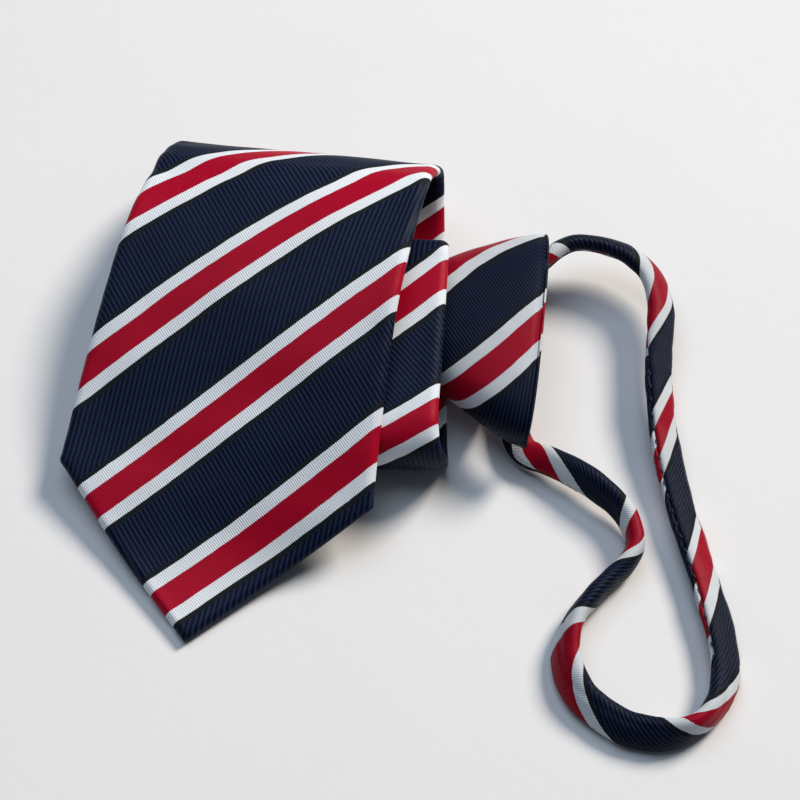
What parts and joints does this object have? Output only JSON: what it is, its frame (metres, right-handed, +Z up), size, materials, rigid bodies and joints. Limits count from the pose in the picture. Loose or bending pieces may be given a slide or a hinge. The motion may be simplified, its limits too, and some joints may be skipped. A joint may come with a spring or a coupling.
{
  "type": "pre-tied necktie",
  "caption": "Pre-tied striped necktie lying flat: padded pointed blade folded up in layers, ready-made hollow knot and padded neck strap loop.",
  "frame": {"origin": "middle of the bounding box, on the surface the necktie lies on", "axes": "+Z up from the surface, +X from the blade towards the neck strap, +Y from the pointed end towards the top fold"},
  "size_m": [0.1652, 0.1686, 0.0332],
  "materials": {
    "blade_fabric": "ribbed woven twill, navy with white-edged red diagonal stripes, soft sheen",
    "knot_fabric": "ribbed woven twill, navy with a white-edged red diagonal stripe, soft sheen",
    "strap_fabric": "ribbed woven twill, navy with white-edged red diagonal stripes, soft sheen"
  },
  "bodies": {
    "root": {"blade": "blade_fabric", "knot": "knot_fabric", "neck_strap": "strap_fabric"}
  },
  "joints": []
}
